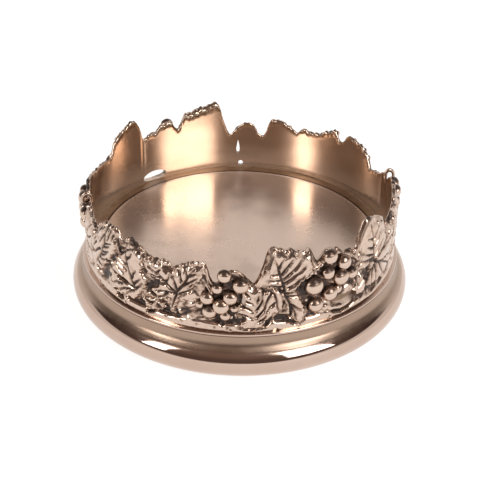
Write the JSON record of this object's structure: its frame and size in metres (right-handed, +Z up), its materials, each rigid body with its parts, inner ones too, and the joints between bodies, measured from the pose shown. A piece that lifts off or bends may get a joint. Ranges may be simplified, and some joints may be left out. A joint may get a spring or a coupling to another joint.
{
  "type": "wine bottle coaster",
  "caption": "Round metal coaster that stands a wine bottle on a flat floor, with a spun roll base and a cast openwork border of vine leaves and grapes.",
  "frame": {"origin": "on the table, at the middle of the baize under the base", "axes": "+Z up, -Y towards the front of the picture, where one of the two seams of the border lies a little to the right, +X to the right"},
  "size_m": [0.133, 0.133, 0.0537],
  "materials": {
    "plated_spinning": "polished warm nickel plate",
    "plated_floor": "satin warm nickel plate with fine wear",
    "plated_casting": "plated casting, bright on its high spots and dark brown in its hollows",
    "solder": "dull plated solder",
    "tinplate": "plain sheet",
    "baize": "dark green wool baize"
  },
  "bodies": {
    "root": {"base_roll": "plated_spinning", "floor_plate": "plated_floor", "gallery_right": "plated_casting", "gallery_left": "plated_casting", "solder_fillet": "solder", "backing_disc": "tinplate", "baize_pad": "baize"}
  },
  "joints": []
}
